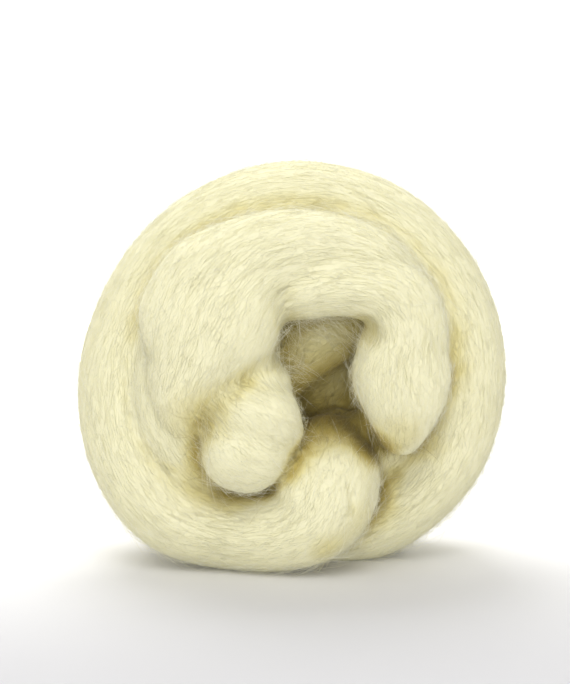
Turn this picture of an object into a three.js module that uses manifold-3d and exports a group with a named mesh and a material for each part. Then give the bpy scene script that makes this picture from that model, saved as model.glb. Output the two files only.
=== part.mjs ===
// A nest of combed wool roving standing on its rim: one long soft rope of fibre, wound up by hand.
// It starts in a flat spiral at the back, makes two full outer turns side by side, and dives into
// the hollow at the centre. What is left of it fills the front: a second turn inside the outer one,
// a broad fanned end on the left, a fold on the right, and a small knot tucked below the hollow.
// Millimetres, +Z up. X runs across the nest, and the front faces -Y. The origin is under the
// middle of the nest, on the surface it stands on.
import * as THREE from "three";
import { ConvexGeometry } from "three/addons/geometries/ConvexGeometry.js";
import { mergeVertices } from "three/addons/utils/BufferGeometryUtils.js";
import Module from "manifold-3d";

const wasm = await Module();
wasm.setup();

// Driving sizes.
const HUB_HEIGHT = 68.5; // the hub of the coil, a little lower than its reach: the rim is pressed flat
const ROPE_WIDE = 15.5; // half the rope's width across a turn, seen from the front
const ROPE_THICK = 17; // half its width from front to back
const SPIRAL_START = -1140; // degrees along the coil, anticlockwise from +X as seen from the front
const SPIRAL_END = -450; // the last station of the spiral, a step before the first outer turn
const SPIRAL_STEP = 45;
const SPIRAL_SEED = 3; // the spiral's first radius
const SPIRAL_PITCH = 27; // how far the spiral grows in a turn
const SPIRAL_THIN = 0.75; // the rope's thickness where the spiral starts, as a share of ROPE_THICK
const BACK_BULGE = 27; // depth of the spiral's middle, behind the hub
const BACK_TURN = 20; // depth of the outer turn at the back
const FURROWS = 4; // shallow furrows along the rope
const FURROW_SHARE = 0.022; // their height, as a share of the rope's half width
const FURROW_TWIST = 0.5; // radians that they turn from one station to the next
const LUMP_SHARE = 0.03; // slow swelling along the rope, as a share of its half width
const LUMP_PACE = 1.7; // radians of that swelling from one station to the next
const STATION_STEPS = 3; // rows of points from one station to the next
const SIDES = 16; // points round the rope
const SMALLEST_STEP = 0.2; // finer steps than this, left where turns cross, are smoothed away
const SAME_POINT = 1e-3; // points closer than this are one point

// The outer turns. at is in degrees along the coil, reach is from the hub to the outside.
const OUTER_TURNS = [
  { at: -420, reach: 71, y: 20 },
  { at: -390, reach: 72, y: 20 },
  { at: -360, reach: 72.5, y: 20 },
  { at: -330, reach: 72, y: 19.5 },
  { at: -300, reach: 71.5, y: 19.5 },
  { at: -270, reach: 71, y: 19 },
  { at: -240, reach: 70, y: 19 },
  { at: -210, reach: 70.5, y: 19 },
  { at: -180, reach: 72, y: 18.5 },
  { at: -150, reach: 74, y: 18 },
  { at: -120, reach: 74, y: 15 },
  { at: -90, reach: 74, y: 9 },
  { at: -60, reach: 77, y: 3 },
  { at: -30, reach: 77.5, y: -1 },
  { at: 0, reach: 75.5, y: -2 },
  { at: 30, reach: 75, y: -2 },
  { at: 60, reach: 75.5, y: -2.5 },
  { at: 90, reach: 74, y: -3 },
  { at: 120, reach: 71.5, y: -3 },
  { at: 150, reach: 71.5, y: -4 },
  { at: 180, reach: 75, y: -6 },
  { at: 205, reach: 78, y: -9 },
  { at: 228, reach: 79, y: -12 },
];

// The end of the coil: along the bottom, then up and back into the hollow.
const DIVE = [
  { x: -21, y: -15, z: 14, wide: 15, thick: 15 },
  { x: -4, y: -21, z: 14.5, wide: 15, thick: 15 },
  { x: 7.5, y: -24, z: 20, wide: 16.5, thick: 15 },
  { x: 12.5, y: -22.5, z: 30.5, wide: 18, thick: 15 },
  { x: 14.5, y: -13, z: 38, wide: 17, thick: 13 },
  { x: 16, y: 1, z: 41, wide: 14, thick: 12 },
  { x: 14, y: 13, z: 42, wide: 9, thick: 9 },
];

// The second turn, inside the outer one and in front of it: from the right side over the top, then
// spread into a broad fan that sweeps down the left and thins out beside the knot.
const FANNED_TURN = [
  { x: 48.5, y: -12, z: 69.5, wide: 6.5, thick: 6 },
  { x: 45.5, y: -18, z: 85, wide: 9, thick: 9 },
  { x: 38, y: -20, z: 99, wide: 10.5, thick: 11 },
  { x: 28, y: -22, z: 109.5, wide: 10.5, thick: 12 },
  { x: 14.5, y: -24, z: 114, wide: 11, thick: 12 },
  { x: 0, y: -27, z: 114, wide: 13.5, thick: 12.5 },
  { x: -12.5, y: -29, z: 109.5, wide: 17.5, thick: 13 },
  { x: -22.5, y: -31, z: 100, wide: 23, thick: 13.5 },
  { x: -28.5, y: -32, z: 88.5, wide: 23.5, thick: 13.5 },
  { x: -32.5, y: -31, z: 77, wide: 19.5, thick: 13 },
  { x: -36.5, y: -29, z: 66.5, wide: 13.5, thick: 12 },
  { x: -37, y: -26, z: 57.5, wide: 9, thick: 10 },
  { x: -35.5, y: -23, z: 49.5, wide: 5, thick: 7 },
  { x: -32, y: -20, z: 43, wide: 2.5, thick: 3 },
];

// The fold on the right: its round end below, up the right side, and over the hollow to the left.
const RIGHT_FOLD = [
  { x: 37.5, y: -16, z: 47.5, wide: 5, thick: 6 },
  { x: 37.5, y: -21, z: 50, wide: 9, thick: 10 },
  { x: 37.8, y: -24, z: 54.5, wide: 12, thick: 12 },
  { x: 38, y: -26, z: 61.5, wide: 15, thick: 13 },
  { x: 37.5, y: -27, z: 70.5, wide: 17, thick: 13 },
  { x: 38, y: -27.5, z: 79.5, wide: 16, thick: 13 },
  { x: 39, y: -28, z: 88.5, wide: 13.5, thick: 13 },
  { x: 35, y: -28, z: 97, wide: 12, thick: 12.5 },
  { x: 24.5, y: -28, z: 101.5, wide: 11.5, thick: 12.5 },
  { x: 13.5, y: -28, z: 102, wide: 11.5, thick: 12.5 },
  { x: 3, y: -26, z: 100, wide: 11, thick: 12 },
  { x: -7, y: -20, z: 96.5, wide: 8, thick: 9 },
];

// The turn under the fan, which shows as a strip between it and the outer turn on the lower left.
const LOWER_LEFT_TURN = [
  { x: -39.5, y: -16, z: 95, wide: 6, thick: 6 },
  { x: -44, y: -19, z: 79.5, wide: 10, thick: 10 },
  { x: -44.5, y: -20, z: 66, wide: 11, thick: 11.5 },
  { x: -42.5, y: -19, z: 53.5, wide: 11.5, thick: 12 },
  { x: -37.5, y: -17, z: 42, wide: 11, thick: 11.5 },
  { x: -30.5, y: -13, z: 33, wide: 10, thick: 10 },
  { x: -24, y: -8, z: 26.5, wide: 5, thick: 6 },
];

// The knot: a neck that comes down from the left of the hollow, and two short folds across it.
const KNOT_NECK = [
  { x: -13, y: -14, z: 90, wide: 5, thick: 7 },
  { x: -13.5, y: -18, z: 81.5, wide: 8.5, thick: 9.5 },
  { x: -14, y: -22, z: 72.5, wide: 9.5, thick: 11 },
  { x: -12, y: -25, z: 65, wide: 12, thick: 12 },
  { x: -10.5, y: -24, z: 57, wide: 7, thick: 9 },
];

const KNOT_UPPER = [
  { x: -25.5, y: -23, z: 59, wide: 4.5, thick: 5 },
  { x: -21.5, y: -27, z: 59.5, wide: 9, thick: 10 },
  { x: -15, y: -29.5, z: 58.5, wide: 12.5, thick: 13.5 },
  { x: -8.5, y: -29.5, z: 55.5, wide: 12.5, thick: 14 },
  { x: -4, y: -27, z: 51.5, wide: 9, thick: 10.5 },
  { x: -1.5, y: -22, z: 49, wide: 4.5, thick: 5 },
];

const KNOT_LOWER = [
  { x: -25.5, y: -23, z: 54, wide: 4.5, thick: 5 },
  { x: -22.5, y: -28, z: 50, wide: 10, thick: 10.5 },
  { x: -18, y: -30.5, z: 45.5, wide: 15, thick: 14 },
  { x: -13, y: -30.5, z: 44, wide: 15, thick: 13.5 },
  { x: -8.5, y: -28, z: 44, wide: 10.5, thick: 10.5 },
  { x: -4.5, y: -23, z: 44.5, wide: 4.5, thick: 5 },
];

// The piece of rope that crosses the hollow behind the fold and the knot.
const HOLLOW_CROSSING = [
  { x: 34.5, y: 0, z: 95, wide: 11, thick: 10 },
  { x: 19.5, y: -3, z: 89, wide: 14.5, thick: 12 },
  { x: 9, y: -5, z: 82, wide: 14.5, thick: 12 },
  { x: -1, y: -6, z: 73, wide: 13, thick: 11 },
  { x: -8, y: -6, z: 62, wide: 9, thick: 9 },
];

// The turns buried in the nest: a ring of rope under the second turn, and bunches of fibre at the
// heart of the nest, behind the knot, behind the fold where it crosses over the hollow, under the
// knot, and between the knot and the end of the coil.
const BURIED_RING = { ring: 40, half: 13, depth: -2, around: 36, sides: 12 };
const BURIED_BUNCHES = [
  { x: 0, y: 20, z: 68.5, across: 45, deep: 14, high: 45 },
  { x: -14, y: -5, z: 60, across: 16, deep: 17, high: 36 },
  { x: 2, y: -8, z: 99, across: 24, deep: 14, high: 11 },
  { x: -19, y: -8, z: 30, across: 15, deep: 11, high: 9 },
  { x: -1, y: -18, z: 38, across: 9, deep: 13, high: 12 },
];
const BUNCH_GRID = { around: 28, rows: 16 };

const DEPTH_AXIS = new THREE.Vector3(0, 1, 0);

function onCoil({ at, reach, y, thick = ROPE_THICK }) {
  const ring = reach - ROPE_WIDE;
  const angle = THREE.MathUtils.degToRad(at);
  const x = ring * Math.cos(angle);
  const z = HUB_HEIGHT + ring * Math.sin(angle);
  return { x, y, z, wide: ROPE_WIDE, thick };
}

function backSpiral() {
  const stations = [];
  for (let at = SPIRAL_START; at <= SPIRAL_END; at += SPIRAL_STEP) {
    const turns = (at - SPIRAL_START) / 360;
    const share = (at - SPIRAL_START) / (SPIRAL_END - SPIRAL_START);
    stations.push(onCoil({
      at,
      reach: SPIRAL_SEED + SPIRAL_PITCH * turns + ROPE_WIDE,
      y: THREE.MathUtils.lerp(BACK_BULGE, BACK_TURN, share),
      thick: ROPE_THICK * THREE.MathUtils.lerp(SPIRAL_THIN, 1, share),
    }));
  }
  return stations;
}

// The rows of a length of rope, spaced along a smooth line through the stations. The rim of each is
// an uneven oval of its station's width and thickness, and both ends close to a point.
function rowsOf(stations, seed) {
  const line = new THREE.CatmullRomCurve3(stations.map((s) => new THREE.Vector3(s.x, s.y, s.z)));
  const girth = new THREE.CatmullRomCurve3(stations.map((s) => new THREE.Vector3(s.wide, s.thick, 0)));
  const gaps = stations.length - 1;
  const last = gaps * STATION_STEPS;
  const side = new THREE.Vector3();
  const deep = new THREE.Vector3();
  return Array.from({ length: last + 1 }, (_, row) => {
    const t = row / last;
    const middle = line.getPoint(t);
    if (row === 0 || row === last) return { middle, rim: [middle] };
    const half = girth.getPoint(t);
    const tangent = line.getTangent(t);
    side.crossVectors(tangent, DEPTH_AXIS).normalize();
    deep.crossVectors(side, tangent);
    const swell = 1 + LUMP_SHARE * Math.sin(LUMP_PACE * gaps * t + seed);
    const rim = Array.from({ length: SIDES }, (_, corner) => {
      const angle = (2 * Math.PI * corner) / SIDES;
      const furrow = Math.cos(FURROWS * angle + FURROW_TWIST * gaps * t + seed);
      const size = swell + FURROW_SHARE * furrow;
      return middle.clone()
        .addScaledVector(side, Math.cos(angle) * half.x * size)
        .addScaledVector(deep, Math.sin(angle) * half.y * size);
    });
    return { middle, rim };
  });
}

// A length of rope as short convex pieces, one from each row to the next, so that turns which lie
// against each other or bend sharply still join into one clean solid. Each piece also reaches the
// middle of the rows beyond, so that it runs well into its neighbours.
function rope(stations, seed) {
  const rows = rowsOf(stations, seed);
  return rows.slice(1).map((row, i) => {
    const middles = rows.slice(Math.max(i - 1, 0), i + 3).map(({ middle }) => middle);
    return new ConvexGeometry([...rows[i].rim, ...row.rim, ...middles]);
  });
}

function buriedRing() {
  const { ring, half, depth, around, sides } = BURIED_RING;
  const shape = new THREE.TorusGeometry(ring, half, sides, around);
  return shape.rotateX(Math.PI / 2).translate(0, depth, HUB_HEIGHT);
}

function buriedBunch({ x, y, z, across, deep, high }) {
  const shape = new THREE.SphereGeometry(1, BUNCH_GRID.around, BUNCH_GRID.rows);
  return shape.scale(across, deep, high).translate(x, y, z);
}

function ground() {
  const side = 4 * HUB_HEIGHT;
  return new THREE.BoxGeometry(side, side, side).translate(0, 0, -side / 2);
}

function solidOf(geometry) {
  geometry.deleteAttribute("normal");
  geometry.deleteAttribute("uv");
  const merged = mergeVertices(geometry, SAME_POINT);
  return new wasm.Manifold(new wasm.Mesh({
    numProp: 3,
    vertProperties: merged.getAttribute("position").array,
    triVerts: new Uint32Array(merged.index.array),
  }));
}

// The outer skin of a solid: the turns close off small voids, which in the nest are full of fibre.
function skinOf(solid) {
  return solid.decompose().reduce((a, b) => (b.volume() > a.volume() ? b : a));
}

function geometryOf(solid) {
  const { numProp, vertProperties, triVerts } = solid.getMesh();
  const places = new Float32Array((vertProperties.length / numProp) * 3);
  for (let i = 0; i < places.length / 3; i++) {
    places.set(vertProperties.subarray(i * numProp, i * numProp + 3), i * 3);
  }
  const geometry = new THREE.BufferGeometry();
  geometry.setAttribute("position", new THREE.BufferAttribute(places, 3));
  geometry.setIndex(new THREE.BufferAttribute(triVerts, 1));
  geometry.computeVertexNormals();
  return geometry;
}

function rovingNest() {
  const coil = [...backSpiral(), ...OUTER_TURNS.map(onCoil), ...DIVE];
  const lengths = [
    coil,
    FANNED_TURN,
    RIGHT_FOLD,
    LOWER_LEFT_TURN,
    KNOT_NECK,
    KNOT_UPPER,
    KNOT_LOWER,
    HOLLOW_CROSSING,
  ];
  const pieces = [
    ...lengths.flatMap((stations, seed) => rope(stations, seed)),
    buriedRing(),
    ...BURIED_BUNCHES.map(buriedBunch),
  ];
  const wound = pieces.map(solidOf).reduce((a, b) => a.add(b));
  const standing = skinOf(wound.subtract(solidOf(ground())).asOriginal().simplify(SMALLEST_STEP));
  const geometry = geometryOf(skinOf(solidOf(geometryOf(standing))));
  geometry.computeBoundingBox();
  const middle = geometry.boundingBox.getCenter(new THREE.Vector3());
  geometry.translate(-middle.x, -middle.y, 0);
  const wool = new THREE.MeshStandardMaterial({ color: 0xefe9c8, roughness: 0.95, metalness: 0 });
  const nest = new THREE.Mesh(geometry, wool);
  nest.name = "roving_nest";
  return nest;
}

const part = new THREE.Group();
part.add(rovingNest());

export default part;
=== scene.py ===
import itertools
import math
from collections import namedtuple

import bpy
import numpy as np
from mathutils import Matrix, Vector
from mathutils.bvhtree import BVHTree


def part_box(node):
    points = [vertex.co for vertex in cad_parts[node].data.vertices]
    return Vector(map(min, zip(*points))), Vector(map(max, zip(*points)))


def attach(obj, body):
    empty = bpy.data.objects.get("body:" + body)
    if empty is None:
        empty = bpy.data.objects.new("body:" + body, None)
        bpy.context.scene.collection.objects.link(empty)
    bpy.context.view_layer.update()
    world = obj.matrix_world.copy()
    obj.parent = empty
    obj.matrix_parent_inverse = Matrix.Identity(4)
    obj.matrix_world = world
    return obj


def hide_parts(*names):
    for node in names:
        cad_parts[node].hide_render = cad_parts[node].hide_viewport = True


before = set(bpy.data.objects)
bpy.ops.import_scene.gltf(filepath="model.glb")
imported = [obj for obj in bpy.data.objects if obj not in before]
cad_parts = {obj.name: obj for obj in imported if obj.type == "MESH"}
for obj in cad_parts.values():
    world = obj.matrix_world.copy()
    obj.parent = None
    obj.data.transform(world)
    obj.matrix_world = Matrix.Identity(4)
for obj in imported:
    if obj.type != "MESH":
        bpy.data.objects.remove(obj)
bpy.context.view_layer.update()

MM = 0.001
NODE = "roving_nest"

# The camera: it stands in front, looks a little down, and aims just above the nest's middle.
AIM = (-0.00265, 0.0, 0.0783)
CAMERA_AWAY = 0.8
CAMERA_RISE = math.radians(8)
SENSOR_HIGH = 24
LENS = 79.5
CLIP_START = 0.01
CLIP_END = 20

# The rope, as the CAD part winds it.
HUB_HEIGHT = 68.5
ROPE_WIDE = 15.5
ROPE_THICK = 17
SPIRAL_START = -1140
SPIRAL_END = -450
SPIRAL_STEP = 45
SPIRAL_SEED = 3
SPIRAL_PITCH = 27
SPIRAL_THIN = 0.75
BACK_BULGE = 27
BACK_TURN = 20
FURROWS = 4
FURROW_SHARE = 0.022
FURROW_TWIST = 0.5
LUMP_SHARE = 0.03
LUMP_PACE = 1.7

# The outer turns: degrees along the coil, reach from the hub to the outside, and depth.
OUTER_TURNS = [
    (-420, 71, 20),
    (-390, 72, 20),
    (-360, 72.5, 20),
    (-330, 72, 19.5),
    (-300, 71.5, 19.5),
    (-270, 71, 19),
    (-240, 70, 19),
    (-210, 70.5, 19),
    (-180, 72, 18.5),
    (-150, 74, 18),
    (-120, 74, 15),
    (-90, 74, 9),
    (-60, 77, 3),
    (-30, 77.5, -1),
    (0, 75.5, -2),
    (30, 75, -2),
    (60, 75.5, -2.5),
    (90, 74, -3),
    (120, 71.5, -3),
    (150, 71.5, -4),
    (180, 75, -6),
    (205, 78, -9),
    (228, 79, -12),
]

# The other lengths of rope: x, y, z, half its width across, half its thickness.
DIVE = [
    (-21, -15, 14, 15, 15),
    (-4, -21, 14.5, 15, 15),
    (7.5, -24, 20, 16.5, 15),
    (12.5, -22.5, 30.5, 18, 15),
    (14.5, -13, 38, 17, 13),
    (16, 1, 41, 14, 12),
    (14, 13, 42, 9, 9),
]
FANNED_TURN = [
    (48.5, -12, 69.5, 6.5, 6),
    (45.5, -18, 85, 9, 9),
    (38, -20, 99, 10.5, 11),
    (28, -22, 109.5, 10.5, 12),
    (14.5, -24, 114, 11, 12),
    (0, -27, 114, 13.5, 12.5),
    (-12.5, -29, 109.5, 17.5, 13),
    (-22.5, -31, 100, 23, 13.5),
    (-28.5, -32, 88.5, 23.5, 13.5),
    (-32.5, -31, 77, 19.5, 13),
    (-36.5, -29, 66.5, 13.5, 12),
    (-37, -26, 57.5, 9, 10),
    (-35.5, -23, 49.5, 5, 7),
    (-32, -20, 43, 2.5, 3),
]
RIGHT_FOLD = [
    (37.5, -16, 47.5, 5, 6),
    (37.5, -21, 50, 9, 10),
    (37.8, -24, 54.5, 12, 12),
    (38, -26, 61.5, 15, 13),
    (37.5, -27, 70.5, 17, 13),
    (38, -27.5, 79.5, 16, 13),
    (39, -28, 88.5, 13.5, 13),
    (35, -28, 97, 12, 12.5),
    (24.5, -28, 101.5, 11.5, 12.5),
    (13.5, -28, 102, 11.5, 12.5),
    (3, -26, 100, 11, 12),
    (-7, -20, 96.5, 8, 9),
]
LOWER_LEFT_TURN = [
    (-39.5, -16, 95, 6, 6),
    (-44, -19, 79.5, 10, 10),
    (-44.5, -20, 66, 11, 11.5),
    (-42.5, -19, 53.5, 11.5, 12),
    (-37.5, -17, 42, 11, 11.5),
    (-30.5, -13, 33, 10, 10),
    (-24, -8, 26.5, 5, 6),
]
KNOT_NECK = [
    (-13, -14, 90, 5, 7),
    (-13.5, -18, 81.5, 8.5, 9.5),
    (-14, -22, 72.5, 9.5, 11),
    (-12, -25, 65, 12, 12),
    (-10.5, -24, 57, 7, 9),
]
KNOT_UPPER = [
    (-25.5, -23, 59, 4.5, 5),
    (-21.5, -27, 59.5, 9, 10),
    (-15, -29.5, 58.5, 12.5, 13.5),
    (-8.5, -29.5, 55.5, 12.5, 14),
    (-4, -27, 51.5, 9, 10.5),
    (-1.5, -22, 49, 4.5, 5),
]
KNOT_LOWER = [
    (-25.5, -23, 54, 4.5, 5),
    (-22.5, -28, 50, 10, 10.5),
    (-18, -30.5, 45.5, 15, 14),
    (-13, -30.5, 44, 15, 13.5),
    (-8.5, -28, 44, 10.5, 10.5),
    (-4.5, -23, 44.5, 4.5, 5),
]
HOLLOW_CROSSING = [
    (34.5, 0, 95, 11, 10),
    (19.5, -3, 89, 14.5, 12),
    (9, -5, 82, 14.5, 12),
    (-1, -6, 73, 13, 11),
    (-8, -6, 62, 9, 9),
]

# What lies buried in the nest, so that the skin closes over it: centre and half sizes.
BURIED_RING = {"ring": 40, "half": 13, "depth": -2, "around": 48, "sides": 16}
BUNCH_ROWS = 16
BUNCH_SIDES = 32
BURIED_BUNCHES = [
    (0, 20, 68.5, 45, 14, 45),
    (-14, -5, 60, 16, 17, 36),
    (2, -8, 99, 24, 14, 11),
    (-19, -8, 30, 15, 11, 9),
    (-1, -18, 38, 9, 13, 12),
]

# The skin, and the locks and fine ridges along its fibres.
ROW_STEP = 2.0  # between the rows of points along a rope
CURVE_SAMPLES = 24  # between two stations of a table, to measure its length
CURVE_NUDGE = 1e-4  # either way along a curve, to find its direction
LEAST_ROWS = 6
SIDES = 40
VOXEL = 1.2
SOFTENING = 6  # rounds of smoothing after the remesh
LOCKS = {"long": 42.0, "wide": 3.4, "high": 0.14, "seed": 11}
RIDGES = {"long": 24.0, "wide": 1.5, "high": 0.03, "seed": 12}

ALONG_WEIGHT = 0.12  # of the steps along a rope, against the half sizes across it
ROPES_APART = 200.0  # between two ropes, where all lie pulled straight side by side

# Where turns melt into each other: middle and reach. The effect of this table and of three others
# below grows inwards from the edge of its reach, the more steeply the greater its steepness.
MELTED = [
    (-26, -33, 62, 15),
    (-3, -30, 93, 13),
    (-9, -28, 79, 12),
    (12, -30, 6, 16),
    (27, -28, 30, 10),
    (0, 38, 68, 15),
]
MELTING = 40  # rounds of smoothing there
MELT_STEEPNESS = 1.5

# Where the wool is pressed in, from one end to the other: half width and depth.
HOLLOWS = [
    ((25, -34, 87), (27, -36, 84.5), 7.0, 1.8),
    ((19.5, -37, 46), (20.5, -38, 24), 2.6, 1.0),
    ((6, -40, 108.5), (27, -39, 107.5), 2.8, 0.4),
]

# How the wool shades itself: the reach of the wide shade and of the narrow one, the weight of the
# narrow one, and the rays from each point, which start a little off the skin.
SHADE_REACH = 26.0
CREASE_REACH = 9.0
CREASE_SHARE = 0.6
SHADE_RAYS = 16
RAY_SETS = 64
RAY_START = 0.5
RAY_OUTWARD = 1.02
SHADE_SOFTENING = 3

# How strongly creases shade themselves: in full near the hollow, less far from it.
SHADE_HEART = (8, -28, 52)
SHADE_NEAR = {"within": 15.0, "share": 1.0}
SHADE_FAR = {"beyond": 60.0, "share": 0.65}

# Where less light gets in than the rays tell, or more: middle, reach, and the share that is lost,
# which is below 0 where light is gained.
POOLS = [
    (12, -12, 58, 24, 0.40),
    (17, -12, 52, 12, 0.22),
    (30, -24, 47, 11, 0.52),
    (-1, -29, 84, 9, 0.14),
    (-30, -30, 55, 10, 0.06),
    (-32, -37, 58, 18, 0.11),
    (37, -36, 50, 13, 0.12),
    (25, -34, 20, 12, 0.10),
    (13, -37, 10, 10, 0.16),
    (-31, -28, 38, 9, 0.16),
    (-1, -30, 38, 7, 0.18),
    (-9, -32, 28, 14, -0.45),
    (49, -20, 57, 15, -0.32),
    (38, -22, 34, 14, -0.34),
]
POOL_STEEPNESS = 1.4

# The direction of the fibres: rounds that blend the ropes' own where they meet.
BLENDING = 24

# Where the wool is combed another way than its rope: middle, reach and direction.
COMBED = [
    (-19, -36, 51, 22, (0.8, 0.0, -0.6)),
]
COMB_STEEPNESS = 2.5

# The fibres that lie on the skin. Each turns away from the lay by a stray angle and a bend.
LYING = {
    "count": 34000,
    "pieces": 3,
    "points": 4,  # along each fibre
    "long": (7.0, 18.0),
    "thick": (0.06, 0.10),
    "lift": (-0.02, 0.14),
}
STRAY = math.radians(5)
TUCK = 0.2  # how deep the ends are sunk
FLOOR_GAP = 0.12  # the lowest that a fibre's middle line may lie

# The short fuzz all over, and the long loose fibres, which turn off the lay and rise from the skin.
FUZZ = {
    "count": 56000,
    "pieces": 2,
    "points": 3,
    "long": (2.5, 6.5),
    "thick": (0.05, 0.09),
    "rise": (0.3, 2.2),
    "turn": math.radians(32),
}
LOOSE = {
    "count": 5200,
    "points": 5,
    "long": (7.0, 18.0),
    "thick": (0.05, 0.08),
    "rise": (0.8, 3.4),
    "turn": math.radians(24),
}
LOW_MORE_OFTEN = 0.7  # the power that makes a low rise commoner than a high one
RISE_ARC = 0.6 * math.pi  # over the top and a little down again
CURL = 0.3  # how far the far end bends sideways, as a share of the length

# Where more long fibres are loose: middle, reach, and how many times as many.
FRAYED = [
    (-28, -32, 49, 13, 9.0),
    (-2, -32, 86, 14, 6.0),
    (-8, -30, 72, 12, 4.0),
    (26, -34, 70, 10, 3.0),
    (12, -16, 58, 14, 7.0),
    (30, -26, 36, 9, 3.0),
    (6, -30, 3, 22, 3.0),
]

# Wisps at the hollow and over the fan's end: both ends, how far they are spread, and how many.
WISPS = [
    ((12, -22, 93), (27, -37, 79), 1.5, 40),
    ((-6, -33, 92), (4, -17, 80), 4.5, 110),
    ((7, -33, 93), (16, -20, 82), 4.5, 80),
    ((-4, -31, 74), (6, -20, 68), 3.5, 60),
    ((22, -33, 72), (26, -36, 60), 1.5, 25),
    ((-30, -36, 62), (-22, -43, 50), 3.5, 60),
]
BOW = 0.12  # how far a wisp sags off its straight line, as a share of its length

# How dark or light a fibre is, from 0 to 1: what it shares with its neighbours along the rope,
# over patches of these sizes, and what is its own.
FIBRE_PATCH = (45.0, 1.6, 1.6)
FIBRE_SHARED = 0.22
FIBRE_OWN = 0.2
FIBRE_OWN_MOST = 1.5
FIBRE_SHADES = (0.02, 0.97)
FUZZ_SHADES = (0.1, 0.9)
MAP_GAP = 0.002

# Seeds, and shifts that keep the noise's cells above 0.
SEED = 7
FIBRE_SEED = 21
NOISE_OFFSET = 900
STREAK_OFFSET = 500


def set_camera():
    camera = bpy.data.cameras.new("camera")
    camera.sensor_fit = "VERTICAL"
    camera.sensor_height = SENSOR_HIGH
    camera.lens = LENS
    camera.clip_start = CLIP_START
    camera.clip_end = CLIP_END
    holder = bpy.data.objects.new("camera", camera)
    bpy.context.collection.objects.link(holder)
    aim = Vector(AIM)
    back = Vector((0, -math.cos(CAMERA_RISE), math.sin(CAMERA_RISE)))
    holder.location = aim + CAMERA_AWAY * back
    holder.rotation_euler = (-back).to_track_quat("-Z", "Y").to_euler()
    bpy.context.scene.camera = holder


# --- Rope -----------------------------------------------------------------------------------------

def on_coil(at, reach, depth, thick=ROPE_THICK):
    """A station of the outer rope, at an angle in degrees and a reach from the hub."""
    ring = reach - ROPE_WIDE
    angle = math.radians(at)
    return (ring * math.cos(angle), depth, HUB_HEIGHT + ring * math.sin(angle), ROPE_WIDE, thick)


def back_spiral():
    stations = []
    for at in range(SPIRAL_START, SPIRAL_END + 1, SPIRAL_STEP):
        turns = (at - SPIRAL_START) / 360
        share = (at - SPIRAL_START) / (SPIRAL_END - SPIRAL_START)
        reach = SPIRAL_SEED + SPIRAL_PITCH * turns + ROPE_WIDE
        depth = BACK_BULGE + (BACK_TURN - BACK_BULGE) * share
        thick = ROPE_THICK * (SPIRAL_THIN + (1 - SPIRAL_THIN) * share)
        stations.append(on_coil(at, reach, depth, thick))
    return stations


def smooth_curve(points, t):
    """Points at t, from 0 to 1, on the centripetal Catmull-Rom curve through the given ones."""
    points = np.asarray(points, float)
    first = 2 * points[0] - points[1]
    last = 2 * points[-1] - points[-2]
    padded = np.vstack([first, points, last])
    gaps = len(points) - 1
    place = np.clip(np.asarray(t) * gaps, 0, gaps)
    gap = np.minimum(place.astype(int), gaps - 1)
    w = (place - gap)[:, None]
    p0, p1, p2, p3 = (padded[gap + i] for i in range(4))
    d0, d1, d2 = (
        np.linalg.norm(b - a, axis=1, keepdims=True) ** 0.5
        for a, b in ((p0, p1), (p1, p2), (p2, p3))
    )
    same = 1e-4  # points this near are one point
    d1 = np.where(d1 < same, 1.0, d1)
    d0 = np.where(d0 < same, d1, d0)
    d2 = np.where(d2 < same, d1, d2)
    m1 = d1 * ((p1 - p0) / d0 - (p2 - p0) / (d0 + d1) + (p2 - p1) / d1)
    m2 = d1 * ((p2 - p1) / d1 - (p3 - p1) / (d1 + d2) + (p3 - p2) / d2)
    rise = (3 * (p2 - p1) - 2 * m1 - m2) * w**2
    turn = (2 * (p1 - p2) + m1 + m2) * w**3
    return p1 + m1 * w + rise + turn


def unit(vectors):
    """The vectors at length 1, and those of no length as they are."""
    return vectors / np.maximum(np.linalg.norm(vectors, axis=-1, keepdims=True), 1e-12)


def rope(stations, seed):
    """A length of rope sampled evenly along its middle line, with its frame and half sizes."""
    stations = np.asarray(stations, float)
    gaps = len(stations) - 1
    fine = np.linspace(0, 1, gaps * CURVE_SAMPLES + 1)
    steps = np.linalg.norm(np.diff(smooth_curve(stations[:, :3], fine), axis=0), axis=1)
    run = np.concatenate([[0], np.cumsum(steps)])
    rows = max(int(round(run[-1] / ROW_STEP)), LEAST_ROWS)
    t = np.interp(np.linspace(0, run[-1], rows + 1), run, fine)
    middle = smooth_curve(stations[:, :3], t)
    ahead = smooth_curve(stations[:, :3], np.minimum(t + CURVE_NUDGE, 1))
    behind = smooth_curve(stations[:, :3], np.maximum(t - CURVE_NUDGE, 0))
    along = unit(ahead - behind)
    side = unit(np.cross(along, [0, 1, 0]))
    deep = np.cross(side, along)
    girth = smooth_curve(np.column_stack([stations[:, 3:5], np.zeros(gaps + 1)]), t)
    return {
        "run": np.linspace(0, run[-1], rows + 1),
        "turn": gaps * t,
        "middle": middle,
        "along": along,
        "side": side,
        "deep": deep,
        "wide": girth[:, 0],
        "thick": girth[:, 1],
        "seed": seed,
    }


def all_ropes():
    coil = back_spiral() + [on_coil(*row) for row in OUTER_TURNS] + DIVE
    lengths = [
        coil,
        FANNED_TURN,
        RIGHT_FOLD,
        LOWER_LEFT_TURN,
        KNOT_NECK,
        KNOT_UPPER,
        KNOT_LOWER,
        HOLLOW_CROSSING,
    ]
    return [rope(stations, seed) for seed, stations in enumerate(lengths)]


def rim_size(length, angle, turn):
    """How far the uneven rim stands out at an angle, as a share of the half sizes."""
    swell = 1 + LUMP_SHARE * np.sin(LUMP_PACE * turn + length["seed"])
    return swell + FURROW_SHARE * np.cos(FURROWS * angle + FURROW_TWIST * turn + length["seed"])


# --- Skin -----------------------------------------------------------------------------------------

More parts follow.
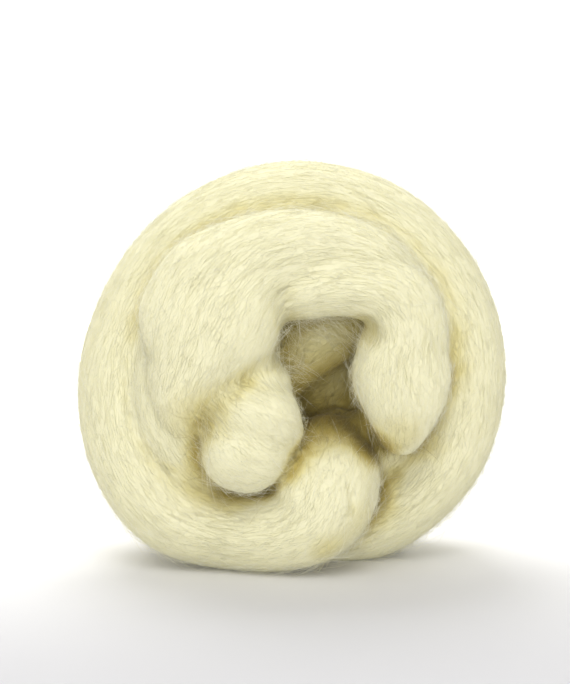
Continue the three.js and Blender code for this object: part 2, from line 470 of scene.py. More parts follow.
def tube(length):
    """The closed surface of a rope: rings of points with a point at each end."""
    angle = np.linspace(0, 2 * np.pi, SIDES, endpoint=False)[None, :, None]
    inner = slice(1, -1)
    size = rim_size(length, angle, length["turn"][inner, None, None])
    wide = length["wide"][inner, None, None] * size * np.cos(angle)
    thick = length["thick"][inner, None, None] * size * np.sin(angle)
    rings = (
        length["middle"][inner, None]
        + wide * length["side"][inner, None]
        + thick * length["deep"][inner, None]
    )
    count = rings.shape[0]
    points = np.vstack([rings.reshape(-1, 3), length["middle"][:1], length["middle"][-1:]])
    faces = []
    for row in range(count - 1):
        for a in range(SIDES):
            b = (a + 1) % SIDES
            faces.append((row * SIDES + a, row * SIDES + b, (row + 1) * SIDES + b, (row + 1) * SIDES + a))
    start, end, top = count * SIDES, count * SIDES + 1, (count - 1) * SIDES
    for a in range(SIDES):
        b = (a + 1) % SIDES
        faces.append((start, b, a))
        faces.append((end, top + a, top + b))
    return points, faces


def ring_surface():
    """The closed ring of wool inside the outer turns."""
    around, sides = BURIED_RING["around"], BURIED_RING["sides"]
    u = np.linspace(0, 2 * np.pi, around, endpoint=False)[:, None]
    v = np.linspace(0, 2 * np.pi, sides, endpoint=False)[None, :]
    reach = BURIED_RING["ring"] + BURIED_RING["half"] * np.cos(v)
    points = np.stack([
        reach * np.cos(u),
        BURIED_RING["depth"] + BURIED_RING["half"] * np.sin(v) + 0 * u,
        HUB_HEIGHT + reach * np.sin(u),
    ], axis=-1).reshape(-1, 3)
    faces = []
    for i, j in itertools.product(range(around), range(sides)):
        i2, j2 = (i + 1) % around, (j + 1) % sides
        faces.append((i * sides + j, i2 * sides + j, i2 * sides + j2, i * sides + j2))
    return points, faces


def bunch_surface(x, y, z, across, deep, high):
    """A closed ellipsoid."""
    rows, around = BUNCH_ROWS, BUNCH_SIDES
    points = [(x, y, z + high), (x, y, z - high)]
    for i in range(1, rows):
        polar = math.pi * i / rows
        for j in range(around):
            turn = 2 * math.pi * j / around
            points.append((
                x + across * math.sin(polar) * math.cos(turn),
                y + deep * math.sin(polar) * math.sin(turn),
                z + high * math.cos(polar),
            ))
    faces = []
    for j in range(around):
        k = (j + 1) % around
        faces.append((0, 2 + j, 2 + k))
        last = 2 + (rows - 2) * around
        faces.append((1, last + k, last + j))
        for i in range(rows - 2):
            low, high_row = 2 + (i + 1) * around, 2 + i * around
            faces.append((high_row + j, low + j, low + k, high_row + k))
    return np.array(points), faces


def joined(surfaces):
    """All the surfaces as one list of points and one of faces."""
    points, faces, base = [], [], 0
    for verts, polygons in surfaces:
        points.append(verts)
        faces.extend(tuple(base + v for v in polygon) for polygon in polygons)
        base += len(verts)
    return np.vstack(points), faces


def remeshed(points, faces):
    """The points and faces of one even skin round everything."""
    mesh = bpy.data.meshes.new("wound")
    mesh.from_pydata((points * MM).tolist(), [], faces)
    holder = bpy.data.objects.new("wound", mesh)
    bpy.context.collection.objects.link(holder)
    remesh = holder.modifiers.new("remesh", "REMESH")
    remesh.mode = "VOXEL"
    remesh.voxel_size = VOXEL * MM
    remesh.adaptivity = 0
    graph = bpy.context.evaluated_depsgraph_get()
    made = holder.evaluated_get(graph).to_mesh()
    skin = np.empty(len(made.vertices) * 3)
    made.vertices.foreach_get("co", skin)
    corners = np.empty(len(made.loops), np.int32)
    made.loops.foreach_get("vertex_index", corners)
    holder.evaluated_get(graph).to_mesh_clear()
    bpy.data.objects.remove(holder)
    bpy.data.meshes.remove(mesh)
    return skin.reshape(-1, 3) / MM, corners.reshape(-1, 4)


def outer_skin(points, quads):
    """Drops the small closed walls left inside, where turns close off a void."""
    label = np.arange(len(points))
    while True:
        low = label[quads].min(axis=1)
        fresh = label.copy()
        np.minimum.at(fresh, quads.ravel(), np.repeat(low, 4))
        fresh = fresh[fresh]
        if (fresh == label).all():
            break
        label = fresh
    names, counts = np.unique(label, return_counts=True)
    keep = label == names[counts.argmax()]
    number = np.cumsum(keep) - 1
    return points[keep], number[quads[keep[quads[:, 0]]]]


def neighbours(quads):
    """Each edge of the quads once in each direction."""
    a = quads[:, [0, 1, 2, 3]].ravel()
    b = quads[:, [1, 2, 3, 0]].ravel()
    return a, b


def softened(values, quads, rounds, strength=0.5):
    """Numbers or vectors at the points, drawn towards their neighbours' mean in each round."""
    a, b = neighbours(quads)
    count = np.bincount(a, minlength=len(values)) + np.bincount(b, minlength=len(values))
    values = values.copy()
    flat = values.ndim == 1
    if flat:
        values = values[:, None]
    for _ in range(rounds):
        total = np.zeros_like(values)
        for axis in range(values.shape[1]):
            total[:, axis] = np.bincount(a, values[b, axis], len(values))
            total[:, axis] += np.bincount(b, values[a, axis], len(values))
        values += strength * (total / count[:, None] - values)
    return values[:, 0] if flat else values


def point_normals(points, quads):
    """The outward direction at each point, from the quads round it by their areas."""
    across = points[quads[:, 2]] - points[quads[:, 0]]
    other = points[quads[:, 3]] - points[quads[:, 1]]
    face = np.cross(across, other)
    normals = np.zeros_like(points)
    for axis in range(3):
        normals[:, axis] = np.bincount(quads.ravel(), np.repeat(face[:, axis], 4), len(points))
    return unit(normals)


def nearness(points, place, reach, steepness=1.0):
    """From 0 at the reach and beyond it to 1 at the place, or sooner where it is steep."""
    off = np.linalg.norm(points - place, axis=1) / reach
    return np.clip(steepness * (1 - off), 0, 1)


# --- Where each point lies on the rope ------------------------------------------------------------

class Lay:
    """The ropes as one list of rows, to find where on them a point lies."""

    def __init__(self, ropes):
        for key in ("run", "middle", "along", "side", "deep", "wide", "thick"):
            setattr(self, key, np.concatenate([r[key] for r in ropes]))
        self.rope = np.concatenate([np.full(len(r["run"]), i) for i, r in enumerate(ropes)])

    def find(self, points, block=2000):
        """For each point: its rope, how far along it, and its place across it in half sizes."""
        used = np.flatnonzero((self.wide > 1) & (self.thick > 1))
        row = np.empty(len(points), int)
        for start in range(0, len(points), block):
            off = points[start:start + block, None] - self.middle[used][None]
            a = (off * self.side[used]).sum(-1) / self.wide[used]
            b = (off * self.deep[used]).sum(-1) / self.thick[used]
            c = (off * self.along[used]).sum(-1) / ROW_STEP
            best = (a * a + b * b + ALONG_WEIGHT * c * c).argmin(axis=1)
            row[start:start + block] = used[best]
        off = points - self.middle[row]
        ahead = np.clip((off * self.along[row]).sum(-1), -ROW_STEP, ROW_STEP)
        a = (off * self.side[row]).sum(-1) / self.wide[row]
        b = (off * self.deep[row]).sum(-1) / self.thick[row]
        return row, self.run[row] + ahead, a, b


def noise(points, seed):
    """Smooth noise from -1 to 1, of cells one unit wide, with a hash of each cell's corners."""
    cell = np.floor(points).astype(np.int64)
    part = points - cell
    part = part * part * (3 - 2 * part)
    total = np.zeros(len(points))
    for corner in itertools.product((0, 1), repeat=3):
        at = (cell + corner).astype(np.uint64)
        mixed = at[:, 0] * np.uint64(73856093) + at[:, 1] * np.uint64(19349663)
        mixed += at[:, 2] * np.uint64(83492791) + np.uint64(seed * 2654435761)
        mixed ^= mixed >> np.uint64(13)
        mixed *= np.uint64(0x5BD1E995)
        mixed ^= mixed >> np.uint64(15)
        value = (mixed % np.uint64(65536)).astype(float) / 32767.5 - 1
        weight = np.ones(len(points))
        for axis in range(3):
            weight = weight * (part[:, axis] if corner[axis] else 1 - part[:, axis])
        total += weight * value
    return total


def straightened(lay, row, run, a, b):
    """Each point's place on its rope pulled straight, with the ropes set far apart."""
    apart = ROPES_APART * lay.rope[row]
    return np.column_stack([run, a * ROPE_WIDE + apart, b * ROPE_WIDE])


def streaks(straight, kind):
    """Long narrow noise along the fibres, from -1 to 1."""
    scale = np.array([kind["long"], kind["wide"], kind["wide"]])
    return noise(straight / scale + STREAK_OFFSET, kind["seed"])


def lay_field(points, quads, normals, along):
    """The fibres' direction at each point of the skin, blended where ropes meet.

    A direction and its opposite are the same lay, so tensors are blended in place of vectors.
    """
    for x, y, z, reach, way in COMBED:
        share = nearness(points, (x, y, z), reach, COMB_STEEPNESS)[:, None]
        way = np.where((along @ way)[:, None] < 0, -1.0, 1.0) * np.array(way)
        along = along + share * (way - along)
    flat = along - (along * normals).sum(-1, keepdims=True) * normals
    pairs = [(0, 0), (1, 1), (2, 2), (0, 1), (0, 2), (1, 2)]
    spread = np.column_stack([flat[:, i] * flat[:, j] for i, j in pairs])
    spread = softened(spread, quads, BLENDING)
    tensor = np.zeros((len(normals), 3, 3))
    for column, (i, j) in enumerate(pairs):
        tensor[:, i, j] = tensor[:, j, i] = spread[:, column]
    across = np.eye(3) - normals[:, :, None] * normals[:, None, :]
    return np.linalg.eigh(across @ tensor @ across)[1][:, :, 2]


def melted(points, quads):
    """Smooths the creases away where MELTED says."""
    soft = softened(points, quads, MELTING)
    weight = np.zeros(len(points))
    for x, y, z, reach in MELTED:
        weight = np.maximum(weight, nearness(points, (x, y, z), reach, MELT_STEEPNESS))
    return points + weight[:, None] * (soft - points)


def pressed_in(points, normals):
    """Pushes the skin in where HOLLOWS says."""
    for start, end, half, depth in HOLLOWS:
        start, line = np.array(start, float), np.subtract(end, start)
        t = np.clip((points - start) @ line / (line @ line), 0, 1)
        off = np.linalg.norm(points - start - t[:, None] * line, axis=1) / half
        points = points - (depth * np.clip(1 - off**2, 0, 1) ** 2)[:, None] * normals
    return points


# --- Self shading ---------------------------------------------------------------------------------

def openness(points, normals, tree, rng):
    """From 0, deep in a crease, to 1, in the open, by short rays over the outward half."""
    share = np.empty(len(points))
    rays = unit(rng.normal(size=(RAY_SETS, SHADE_RAYS, 3)))
    for i in range(len(points)):
        spread = unit(rays[i % RAY_SETS] + RAY_OUTWARD * normals[i])
        start = Vector(points[i] + RAY_START * normals[i])
        wide = narrow = 0.0
        for ray in spread:
            hit = tree.ray_cast(start, Vector(ray), SHADE_REACH)[3]
            wide += 1.0 if hit is None else hit / SHADE_REACH
            narrow += 1.0 if hit is None else min(hit / CREASE_REACH, 1.0)
        crease = 1 - CREASE_SHARE * (1 - narrow / SHADE_RAYS)
        share[i] = crease * wide / SHADE_RAYS
    return share


def pooled(points, share):
    """The openness with SHADE_NEAR, SHADE_FAR and POOLS applied."""
    away = np.linalg.norm(points - SHADE_HEART, axis=1)
    strength = np.interp(
        away, [SHADE_NEAR["within"], SHADE_FAR["beyond"]], [SHADE_NEAR["share"], SHADE_FAR["share"]]
    )
    share = 1 - strength * (1 - share)
    for x, y, z, reach, lost in POOLS:
        share = share * (1 - lost * nearness(points, (x, y, z), reach, POOL_STEEPNESS))
    return np.clip(share, 0, 1)


# --- Meshes ---------------------------------------------------------------------------------------

def mesh_of(name, points, faces):
    """A smooth object from arrays. points are in millimetres, faces an array of equal rows."""
    mesh = bpy.data.meshes.new(name)
    mesh.vertices.add(len(points))
    mesh.vertices.foreach_set("co", (points * MM).astype(np.float32).ravel())
    mesh.loops.add(faces.size)
    mesh.loops.foreach_set("vertex_index", faces.astype(np.int32).ravel())
    mesh.polygons.add(len(faces))
    starts = np.arange(len(faces), dtype=np.int32) * faces.shape[1]
    mesh.polygons.foreach_set("loop_start", starts)
    mesh.update(calc_edges=True)
    mesh.shade_smooth()
    holder = bpy.data.objects.new(name, mesh)
    bpy.context.collection.objects.link(holder)
    return holder


def keep_values(holder, name, values):
    kind = "FLOAT" if values.ndim == 1 else "FLOAT_VECTOR"
    layer = holder.data.attributes.new(name, kind, "POINT")
    layer.data.foreach_set("value" if kind == "FLOAT" else "vector", values.astype(np.float32).ravel())


def fibres(name, paths, normals, thick, tone, shade):
    """Thin three-sided fibres along paths of equal point counts, pointed at both ends.

    The map's U is the openness along the fibre, which the material paints as shade, and its V the
    fibre's own shade, a little apart at the three corners, so that no face of the map is empty.
    """
    count, steps = paths.shape[:2]
    along = np.gradient(paths, axis=1)
    side = unit(np.cross(along, normals))
    up = unit(np.cross(side, along))
    points = [paths[:, :1]]
    for step in range(1, steps - 1):
        for angle in np.radians([90, 210, 330]):
            around = math.cos(angle) * side[:, step] + math.sin(angle) * up[:, step]
            points.append((paths[:, step] + 0.5 * thick[:, None] * around)[:, None])
    points.append(paths[:, -1:])
    points = np.concatenate(points, axis=1)
    each = points.shape[1]
    faces = []
    for a in range(3):
        b = (a + 1) % 3
        faces.append((0, 1 + b, 1 + a))
        for step in range(steps - 3):
            low, high = 1 + 3 * step, 4 + 3 * step
            faces.append((low + a, low + b, high + b))
            faces.append((low + a, high + b, high + a))
        last = each - 4
        faces.append((last + a, last + b, each - 1))
    faces = np.array(faces)
    whole = (faces[None] + each * np.arange(count)[:, None, None]).reshape(-1, 3)
    holder = mesh_of(name, points.reshape(-1, 3), whole)
    corner_painted_shade = np.concatenate(
        [tone[:, :1]] + [np.repeat(tone[:, s:s + 1], 3, axis=1) for s in range(1, steps - 1)]
        + [tone[:, -1:]],
        axis=1,
    )
    offset = np.array([0.0] + [MAP_GAP * (i % 3) for i in range(each - 2)] + [MAP_GAP])
    corner_shade = shade[:, None] + offset[None]
    layer = holder.data.uv_layers.new(name="OFBake")
    uv = np.column_stack([corner_painted_shade.ravel(), corner_shade.ravel()])[whole.ravel()]
    layer.data.foreach_set("uv", uv.astype(np.float32).ravel())
    return holder


# --- Fibres ---------------------------------------------------------------------------------------

# Fibres of equal point counts: their points, and the normal and the openness at each.
Strands = namedtuple("Strands", "paths normals tones")


class Skin:
    """What the fibres need of each face of the skin."""

    def __init__(self, points, quads, normals, lay, tone, straight, tree):
        self.corners = points[quads]
        self.normal = unit(normals[quads].mean(axis=1))
        first = lay[quads[:, 0]]
        signs = np.sign((lay[quads] * first[:, None]).sum(-1, keepdims=True))
        self.lay = unit((lay[quads] * signs).mean(axis=1))
        self.tone = tone[quads].mean(axis=1)
        self.straight = straight[quads[:, 0]]
        self.tree = tree
        self.area = 0.5 * np.linalg.norm(
            np.cross(self.corners[:, 2] - self.corners[:, 0], self.corners[:, 3] - self.corners[:, 1]),
            axis=1,
        )

    def random_spots(self, count, rng, weight=1.0):
        """Random points, spread by area times the given weight, and their faces."""
        ends = np.cumsum(self.area * weight)
        faces = np.searchsorted(ends, rng.random(count) * ends[-1])
        u, v = rng.random((2, count))[:, :, None]
        q = self.corners[faces]
        low = q[:, 0] * (1 - u) + q[:, 1] * u
        high = q[:, 3] * (1 - u) + q[:, 2] * u
        return low * (1 - v) + high * v, faces

    def settle(self, points):
        """The nearest spot of the skin to each point, and its face."""
        spots = np.empty_like(points)
        faces = np.empty(len(points), int)
        for i, point in enumerate(points):
            spots[i], _, faces[i], _ = self.tree.find_nearest(Vector(point))
        return spots, faces


def turned(heading, normals, angle):
    """Each heading turned by its angle about its normal."""
    side = np.cross(normals, heading)
    return np.cos(angle)[:, None] * heading + np.sin(angle)[:, None] * side


def lying_strands(skin, rng):
    """Fibres that follow the lay over the skin, with sunk ends, and where they start on the rope."""
    count, last = LYING["count"], LYING["points"] - 1
    spots, faces = skin.random_spots(count, rng)
    roots = skin.straight[faces]
    heading = skin.lay[faces] * rng.choice([-1.0, 1.0], count)[:, None]
    step = rng.uniform(*LYING["long"], count) / last
    stray, bend = rng.normal(0, STRAY, (2, count))
    lift = rng.uniform(*LYING["lift"], count)
    paths, normals, tones = [], [], []
    for number in range(last + 1):
        normal = skin.normal[faces]
        high = np.full(count, -TUCK) if number in (0, last) else lift
        paths.append(spots + high[:, None] * normal)
        normals.append(normal)
        tones.append(skin.tone[faces])
        lay = skin.lay[faces]
        heading = lay * np.sign((lay * heading).sum(-1, keepdims=True))
        ahead = turned(heading, normal, stray + number * bend)
        spots, faces = skin.settle(spots + step[:, None] * ahead)
    return Strands(*(np.stack(values, axis=1) for values in (paths, normals, tones))), roots


def free_strands(skin, kind, rng, weight=1.0):
    """Fibres that leave the skin at a low angle and stay free at the far end."""
    count = kind["count"]
    spots, faces = skin.random_spots(count, rng, weight)
    normals = skin.normal[faces]
    heading = skin.lay[faces] * rng.choice([-1.0, 1.0], count)[:, None]
    heading = turned(heading, normals, rng.normal(0, kind["turn"], count))
    side = np.cross(normals, heading)
    long = rng.uniform(*kind["long"], count)
    rise = rng.uniform(*kind["rise"], count) * rng.random(count) ** LOW_MORE_OFTEN
    curl = rng.normal(0, CURL, count)
    points = kind["points"]
    paths = []
    for share in np.linspace(0, 1, points):
        up = rise * math.sin(share * RISE_ARC) - TUCK * (share == 0)
        across = curl * long * share**2
        paths.append(
            spots
            + (share * long)[:, None] * heading
            + up[:, None] * normals
            + across[:, None] * side
        )
    tones = np.repeat(skin.tone[faces][:, None], points, axis=1)
    return Strands(np.stack(paths, axis=1), np.repeat(normals[:, None], points, axis=1), tones)


def frayed_weight(skin):
    """How many times as likely each face is to hold a loose fibre."""
    weight = np.ones(len(skin.area))
    middle = skin.corners.mean(axis=1)
    for x, y, z, reach, times in FRAYED:
        weight += (times - 1) * nearness(middle, (x, y, z), reach)
    return weight


def wisp_strands(skin, rng):
    """Thin strands that hang between the two ends of each row of WISPS, in shallow bows."""
    paths = []
    points = LOOSE["points"]
    shares = np.linspace(0, 1, points)[None, :, None]
    for start, end, spread, count in WISPS:
        ends = np.array([start, end], float)[None] + rng.normal(0, spread, (count, 2, 3))
        bow = rng.normal(0, BOW, (count, 1, 3)) * np.linalg.norm(np.subtract(end, start))
        paths.append(ends[:, :1] * (1 - shares) + ends[:, 1:] * shares + bow * 4 * shares * (1 - shares))
    paths = np.concatenate(paths)
    under = [skin.settle(paths[:, i])[1] for i in range(points)]
    normals = np.repeat(skin.normal[under[0]][:, None], points, axis=1)
    tones = np.stack([skin.tone[faces] for faces in under], axis=1)
    return Strands(paths, normals, tones)


# --- Materials ------------------------------------------------------------------------------------

# The wool's own colour in the open, and painted shade towards the creases, at each openness. A shut
# crease is painted a dark olive shade, never grey.
WOOL_COLOUR_AND_PAINTED_SHADE = [
    (0.12, (0.15, 0.105, 0.012)),
    (0.35, (0.24, 0.17, 0.022)),
    (0.60, (0.53, 0.43, 0.125)),
    (0.82, (0.79, 0.725, 0.37)),
    (0.97, (0.892, 0.862, 0.60)),
]

# What the darkest and the lightest streak or fibre multiply it by, and the middle one where given.
SKIN_TINT = [(0.95, 0.94, 0.90), (1.03, 1.03, 1.05)]
LYING_TINT = [(0.96, 0.95, 0.91), (1.03, 1.03, 1.06), (1.0, 1.0, 1.0)]
# The fuzz and loose fibres vary at random, and are also painted paler than the wool, up to a bluish
# white: a painted glow at the rims, standing in for light coming through the fuzz.
FUZZ_TINT_AND_PAINTED_GLOW = [(1.0, 1.0, 1.06), (1.11, 1.14, 1.42)]

# Matt, with a faint warm sheen.
WOOL_FINISH = {
    "Roughness": 0.78,
    "Specular IOR Level": 0.15,
    "Sheen Weight": 0.3,
    "Sheen Roughness": 0.45,
    "Sheen Tint": (1.0, 0.96, 0.78, 1.0),
}

# The fine streaks of the skin's own colour and bump, per millimetre of the rope pulled straight.
STREAK_FINENESS = 1.6
STREAK_DETAIL = 3.0
STREAK_SQUEEZE = 0.035  # along the rope
BUMP_HEIGHT = 0.3 * MM


def new_material(name):
    """Wool with no colour yet: the material, its nodes and links, and the shader to colour."""
    material = bpy.data.materials.new(name)
    material.use_nodes = True
    nodes = material.node_tree.nodes
    nodes.clear()
    output = nodes.new("ShaderNodeOutputMaterial")
    shader = nodes.new("ShaderNodeBsdfPrincipled")
    for setting, value in WOOL_FINISH.items():
        shader.inputs[setting].default_value = value
    material.node_tree.links.new(shader.outputs["BSDF"], output.inputs["Surface"])
    return material, nodes, material.node_tree.links, shader


# Painted shade: turns openness into the wool's colour, darkened to olive in creases and hollows.
def crease_ramp(nodes):
    ramp = nodes.new("ShaderNodeValToRGB")
    stops = ramp.color_ramp.elements  # a new ramp has two
    for number, (position, colour) in enumerate(WOOL_COLOUR_AND_PAINTED_SHADE):
        stop = stops[number] if number < 2 else stops.new(position)
        stop.position = position
        stop.color = (*colour, 1)
    return ramp


def product(nodes, links, first, second):
    """The output of a node that multiplies two colours."""
    mix = nodes.new("ShaderNodeMix")
    mix.data_type = "RGBA"
    mix.blend_type = "MULTIPLY"
    mix.inputs["Factor"].default_value = 1.0
    links.new(first.outputs["Color"], mix.inputs["A"])
    links.new(second.outputs["Color"], mix.inputs["B"])
    return mix.outputs["Result"]


def tint_ramp(nodes, low, high, middle=None):
    ramp = nodes.new("ShaderNodeValToRGB")
    ramp.color_ramp.elements[0].color = (*low, 1)
    ramp.color_ramp.elements[1].color = (*high, 1)
    if middle:
        ramp.color_ramp.elements.new(0.5).color = (*middle, 1)
    return ramp


def skin_material():
    material, nodes, links, shader = new_material("wool_skin")
    # Painted shade: the openness kept on the skin turns the wool's colour olive in creases.
    tone = nodes.new("ShaderNodeAttribute")
    tone.attribute_name = "tone"
    ramp = crease_ramp(nodes)
    links.new(tone.outputs["Fac"], ramp.inputs["Fac"])
    place = nodes.new("ShaderNodeAttribute")
    place.attribute_name = "lay"
    stretch = nodes.new("ShaderNodeMapping")
    stretch.inputs["Scale"].default_value = (STREAK_SQUEEZE, 1.0, 1.0)
    links.new(place.outputs["Vector"], stretch.inputs["Vector"])
    fine = nodes.new("ShaderNodeTexNoise")
    fine.inputs["Scale"].default_value = STREAK_FINENESS
    fine.inputs["Detail"].default_value = STREAK_DETAIL
    links.new(stretch.outputs["Vector"], fine.inputs["Vector"])
    tints = tint_ramp(nodes, *SKIN_TINT)
    links.new(fine.outputs["Fac"], tints.inputs["Fac"])
    links.new(product(nodes, links, ramp, tints), shader.inputs["Base Color"])
    bump = nodes.new("ShaderNodeBump")
    bump.inputs["Strength"].default_value = 0.15
    bump.inputs["Distance"].default_value = BUMP_HEIGHT
    links.new(fine.outputs["Fac"], bump.inputs["Height"])
    links.new(bump.outputs["Normal"], shader.inputs["Normal"])
    return material


def fibre_material(name, tint):
    material, nodes, links, shader = new_material(name)
    place = nodes.new("ShaderNodeUVMap")
    place.uv_map = "OFBake"
    parts = nodes.new("ShaderNodeSeparateXYZ")
    links.new(place.outputs["UV"], parts.inputs["Vector"])
    # Painted shade: the map's U, the openness under the fibre, darkens the fibre's colour in creases.
    ramp = crease_ramp(nodes)
    links.new(parts.outputs["X"], ramp.inputs["Fac"])
    tints = tint_ramp(nodes, *tint)
    links.new(parts.outputs["Y"], tints.inputs["Fac"])
    links.new(product(nodes, links, ramp, tints), shader.inputs["Base Color"])
    return material


# --- Stage ----------------------------------------------------------------------------------------

# A sheet of paper that lies flat and rises into a wall, in metres.
SHEET_FRONT = -3.0
BEND_START = 1.2
BEND_REACH = 0.8
BEND_STEPS = 12
WALL_TOP = 3.0
SHEET_HALF = 12.0

# The paper's colour is painted darker towards the camera, a painted shade where the light falls off: two
# depths, and the colour at each.
PAPER_FRONT = (-0.17, (0.63, 0.625, 0.635))
PAPER_BACK = (0.06, (0.87, 0.865, 0.86))

# The lamps: place and aim in metres, size, and power in watts.
LAMPS = {
    "behind": ((-0.15, 0.45, 0.9), (0, 0, 0.03), 0.6, 5.6),
    "above": ((0.0, -0.9, 1.3), (0, 0, 0.07), 0.9, 7.4),
    "front": ((0.0, -1.8, 0.3), (0, 0, 0.07), 0.8, 10.5),
    "backdrop": ((0.0, 0.7, 1.2), (0, 2.0, 0.4), 1.6, 32.0),
}
WORLD_STRENGTH = 0.55


def floor():
    """A pale sweep: a level floor that rises into a wall far behind the nest."""
    profile = [(SHEET_FRONT, 0.0), (BEND_START, 0.0)]
    for step in range(1, BEND_STEPS + 1):
        angle = 0.5 * math.pi * step / BEND_STEPS
        back = BEND_START + BEND_REACH * math.sin(angle)
        profile.append((back, BEND_REACH - BEND_REACH * math.cos(angle)))
    profile.append((BEND_START + BEND_REACH, WALL_TOP))
    points = [(x, y, z) for y, z in profile for x in (-SHEET_HALF, SHEET_HALF)]
    faces = [(2 * i, 2 * i + 1, 2 * i + 3, 2 * i + 2) for i in range(len(profile) - 1)]
    mesh = bpy.data.meshes.new("floor")
    mesh.from_pydata(points, [], faces)
    mesh.shade_smooth()
    holder = bpy.data.objects.new("floor", mesh)
    bpy.context.collection.objects.link(holder)
    mesh.materials.append(paper_material())


def paper_material():
    material = bpy.data.materials.new("paper")
    material.use_nodes = True
    nodes, links = material.node_tree.nodes, material.node_tree.links
    shader = nodes["Principled BSDF"]
    shader.inputs["Roughness"].default_value = 0.9
    place = nodes.new("ShaderNodeTexCoord")
    parts = nodes.new("ShaderNodeSeparateXYZ")
    links.new(place.outputs["Object"], parts.inputs["Vector"])
    # Painted shade: the paper's colour darkens towards the camera by depth.
    depth = nodes.new("ShaderNodeMapRange")
    depth.inputs["From Min"].default_value = PAPER_FRONT[0]
    depth.inputs["From Max"].default_value = PAPER_BACK[0]
    links.new(parts.outputs["Y"], depth.inputs["Value"])
    ramp = nodes.new("ShaderNodeValToRGB")
    ramp.color_ramp.interpolation = "EASE"
    ramp.color_ramp.elements[0].color = (*PAPER_FRONT[1], 1)
    ramp.color_ramp.elements[1].color = (*PAPER_BACK[1], 1)
    links.new(depth.outputs["Result"], ramp.inputs["Fac"])
    links.new(ramp.outputs["Color"], shader.inputs["Base Color"])
    return material


def lamp(name, place, aim, size, power):
    light = bpy.data.lights.new(name, "AREA")
    light.shape = "SQUARE"
    light.size = size
    light.energy = power
    holder = bpy.data.objects.new(name, light)
    bpy.context.collection.objects.link(holder)
    holder.location = place
    holder.rotation_euler = (Vector(aim) - Vector(place)).to_track_quat("-Z", "Y").to_euler()


def lights():
    world = bpy.data.worlds.new("white")
    bpy.context.scene.world = world
    world.use_nodes = True
    back = world.node_tree.nodes["Background"]
    back.inputs["Color"].default_value = (1, 1, 1, 1)
    back.inputs["Strength"].default_value = WORLD_STRENGTH
    for name, (place, aim, size, power) in LAMPS.items():
        lamp(name, place, aim, size, power)
    bpy.context.scene.view_settings.view_transform = "Standard"


# --- The nest -------------------------------------------------------------------------------------

def wound_skin(ropes):
    """The skin's points and faces, and where each point lies on its rope."""
    surfaces = [tube(length) for length in ropes]
    surfaces.append(ring_surface())
    surfaces.extend(bunch_surface(*row) for row in BURIED_BUNCHES)
    points, quads = outer_skin(*remeshed(*joined(surfaces)))
    points = softened(points, quads, SOFTENING)
    points = melted(points, quads)
    points = pressed_in(points, point_normals(points, quads))
    lay = Lay(ropes)
    row, run, a, b = lay.find(points)
    straight = straightened(lay, row, run, a, b)
    raised = LOCKS["high"] * streaks(straight, LOCKS) + RIDGES["high"] * streaks(straight, RIDGES)
    points += raised[:, None] * point_normals(points, quads)
    points[:, 2] = np.maximum(points[:, 2], 0)
    return points, quads, lay.along[row], straight


def fibre_shade(roots, rng):
    """A fibre's place from dark, 0, to light, 1: much as its neighbours' along the rope."""
    shared = FIBRE_SHARED * noise(roots / FIBRE_PATCH + NOISE_OFFSET, FIBRE_SEED)
    own = FIBRE_OWN * rng.normal(size=len(roots)).clip(-FIBRE_OWN_MOST, FIBRE_OWN_MOST)
    return (0.5 + shared + own).clip(*FIBRE_SHADES)


def fibre_piece(name, strands, shade, kind, tint, shift, rng):
    paths = strands.paths.copy()
    paths[:, :, 2] = np.maximum(paths[:, :, 2], FLOOR_GAP)
    thick = rng.uniform(*kind["thick"], len(paths))
    piece = fibres(name, paths + shift, strands.normals, thick, strands.tones, shade)
    piece.data.materials.append(fibre_material(name, tint))
    return piece


def dealt_pieces(name, strands, shade, kind, tint, shift, rng):
    """The strands dealt at random over as many numbered pieces as their kind has."""
    made = []
    order = rng.permutation(len(shade))
    for number, part in enumerate(np.array_split(order, kind["pieces"]), start=1):
        hand = Strands(*(values[part] for values in strands))
        made.append(fibre_piece(f"{name}_{number}", hand, shade[part], kind, tint, shift, rng))
    return made


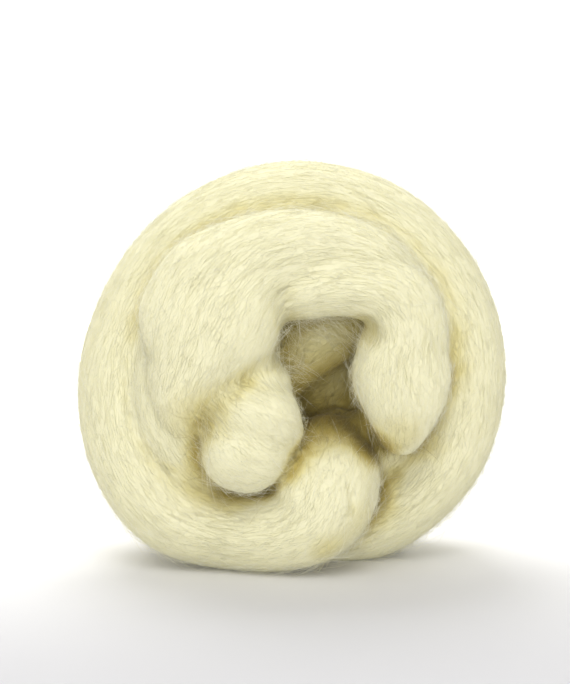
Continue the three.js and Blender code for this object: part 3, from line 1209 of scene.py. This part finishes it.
def lying_pieces(wool, shift, rng):
    strands, roots = lying_strands(wool, rng)
    return dealt_pieces("wool_fibres", strands, fibre_shade(roots, rng), LYING, LYING_TINT, shift, rng)


def fuzz_pieces(wool, shift, rng):
    strands = free_strands(wool, FUZZ, rng)
    shade = rng.uniform(*FUZZ_SHADES, FUZZ["count"])
    return dealt_pieces("wool_fuzz", strands, shade, FUZZ, FUZZ_TINT_AND_PAINTED_GLOW, shift, rng)


def loose_piece(wool, shift, rng):
    loose = free_strands(wool, LOOSE, rng, frayed_weight(wool))
    wisps = wisp_strands(wool, rng)
    strands = Strands(*(np.concatenate(pair) for pair in zip(loose, wisps)))
    shade = rng.uniform(*FUZZ_SHADES, len(strands.paths))
    return fibre_piece("wool_flyaways", strands, shade, LOOSE, FUZZ_TINT_AND_PAINTED_GLOW, shift, rng)


def skin_piece(points, quads, tone, straight):
    piece = mesh_of("wool_skin", points, quads)
    keep_values(piece, "tone", tone)
    keep_values(piece, "lay", straight)
    piece.data.materials.append(skin_material())
    return piece


def shift_to_cad(points):
    """What moves the nest to the middle of the CAD solid's box, in X and Y."""
    low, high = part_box(NODE)
    middle = np.add(low, high)[:2] / 2 / MM
    off = middle - (points.min(axis=0) + points.max(axis=0))[:2] / 2
    return np.array([*off, 0.0])


def build_nest():
    rng = np.random.default_rng(SEED)
    points, quads, along, straight = wound_skin(all_ropes())
    shift = shift_to_cad(points)
    normals = point_normals(points, quads)
    tree = BVHTree.FromPolygons(points.tolist(), quads.tolist())
    # Painted shade: the openness, with the shade pools, darkens the wool's colour in creases and hollows.
    tone = pooled(points, openness(points, normals, tree, rng))
    tone = softened(tone, quads, SHADE_SOFTENING)
    lay = lay_field(points, quads, normals, along)
    wool = Skin(points, quads, normals, lay, tone, straight, tree)
    skin = skin_piece(points + shift, quads, tone, straight)
    made = [skin, *lying_pieces(wool, shift, rng), *fuzz_pieces(wool, shift, rng)]
    made.append(loose_piece(wool, shift, rng))
    for piece in made:
        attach(piece, "root")
    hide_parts(NODE)


set_camera()
floor()
lights()
build_nest()
